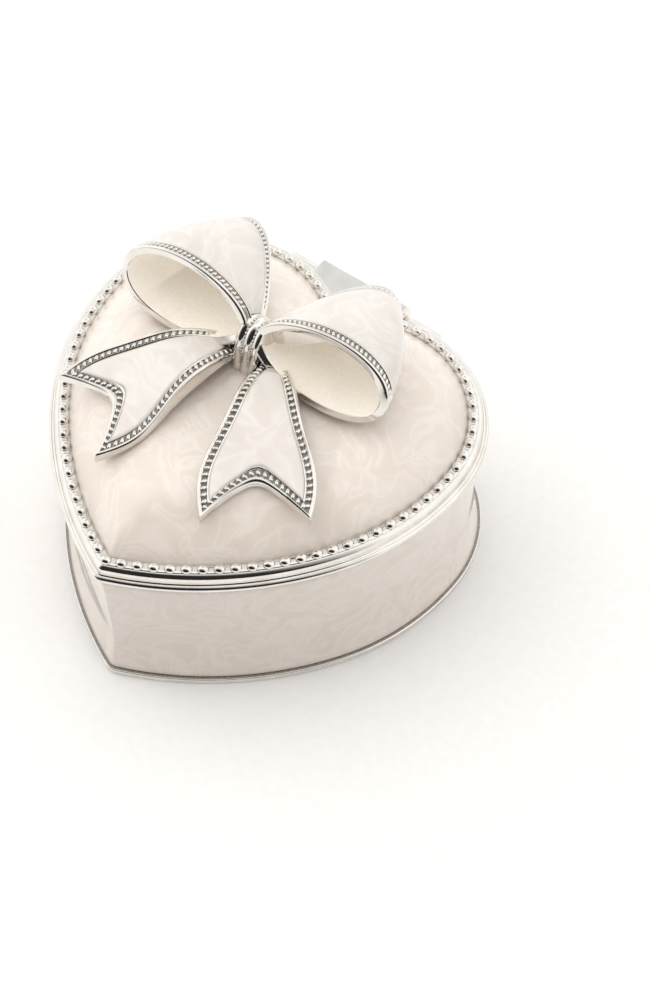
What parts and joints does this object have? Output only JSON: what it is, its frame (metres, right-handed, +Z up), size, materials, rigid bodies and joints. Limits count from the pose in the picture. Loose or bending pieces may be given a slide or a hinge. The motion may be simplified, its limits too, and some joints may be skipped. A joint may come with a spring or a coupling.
{
  "type": "hinged trinket box",
  "caption": "Heart-shaped metal trinket box with pearl-enamelled walls and a domed lid hinged at the cleft, with a bead border and a cast ribbon bow on the lid.",
  "frame": {"origin": "on the table under the middle of the heart: midway between its sides and between its tip and lobes", "axes": "+X to the right lobe, -Y to the heart's tip and the front, +Y to the hinge, +Z up"},
  "size_m": [0.073, 0.0718, 0.053],
  "materials": {
    "silver_plate": "bright silver plate on zinc",
    "hinge_steel": "drawn steel pin",
    "pearl_enamel": "glossy pearl enamel",
    "panel_enamel": "glossy pale enamel"
  },
  "bodies": {
    "base": {"base_casting": "silver_plate", "base_enamel": "pearl_enamel", "hinge_pin": "hinge_steel"},
    "lid": {"lid_casting": "silver_plate", "lid_enamel": "pearl_enamel", "lid_bead_border": "silver_plate", "bow_knot": "silver_plate", "bow_right_loop": "silver_plate", "bow_right_loop_enamel": "panel_enamel", "bow_right_tail": "silver_plate", "bow_right_tail_enamel": "panel_enamel", "bow_left_loop": "silver_plate", "bow_left_loop_enamel": "panel_enamel", "bow_left_tail": "silver_plate", "bow_left_tail_enamel": "panel_enamel"}
  },
  "joints": [
    {"name": "lid_hinge", "type": "hinge", "parent": "base", "child": "lid", "pos_m": [0, 0.03499, 0.026], "axis": [-1, 0, 0], "range_deg": [0, 105]}
  ]
}
